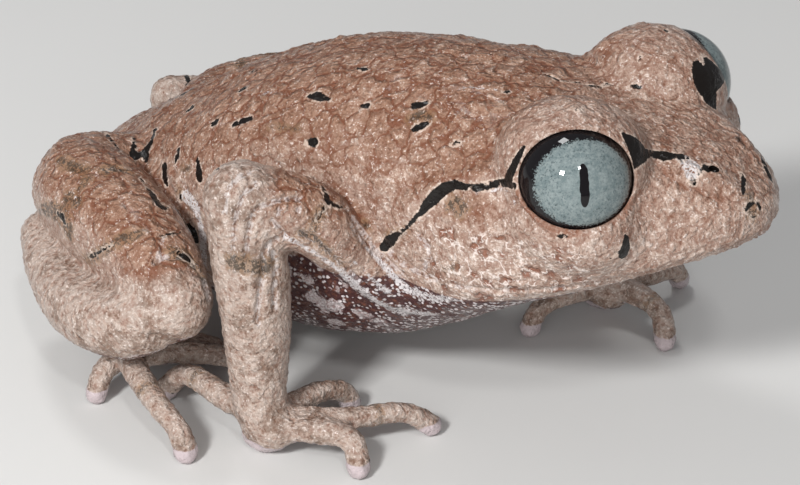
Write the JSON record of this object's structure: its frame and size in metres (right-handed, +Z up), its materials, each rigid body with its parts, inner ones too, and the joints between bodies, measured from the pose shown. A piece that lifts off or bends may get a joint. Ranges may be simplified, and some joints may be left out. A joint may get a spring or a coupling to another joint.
{
  "type": "leptobrachium frog",
  "caption": "Life-size model of a stout, big-eyed litter frog paused in a slow walk, standing on its fingertips, palms and toes.",
  "frame": {"origin": "on the floor, under the centre of the model's box", "axes": "+X out of the snout, +Y to the frog's left, +Z up"},
  "size_m": [0.0694, 0.0522, 0.0323],
  "materials": {
    "skin": "matt, finely granular, slightly damp",
    "digits": "matt, slightly damp",
    "eye": "wet gloss"
  },
  "bodies": {
    "root": {"head": "skin", "torso": "skin", "eye_right": "eye", "eye_left": "eye", "upper_arm_right": "skin", "upper_arm_left": "skin", "forearm_right": "skin", "forearm_left": "skin", "hand_right": "digits", "hand_left": "digits", "thigh_right": "skin", "thigh_left": "skin", "shank_right": "skin", "shank_left": "skin", "tarsus_right": "skin", "tarsus_left": "skin", "foot_right": "digits", "foot_left": "digits"}
  },
  "joints": []
}
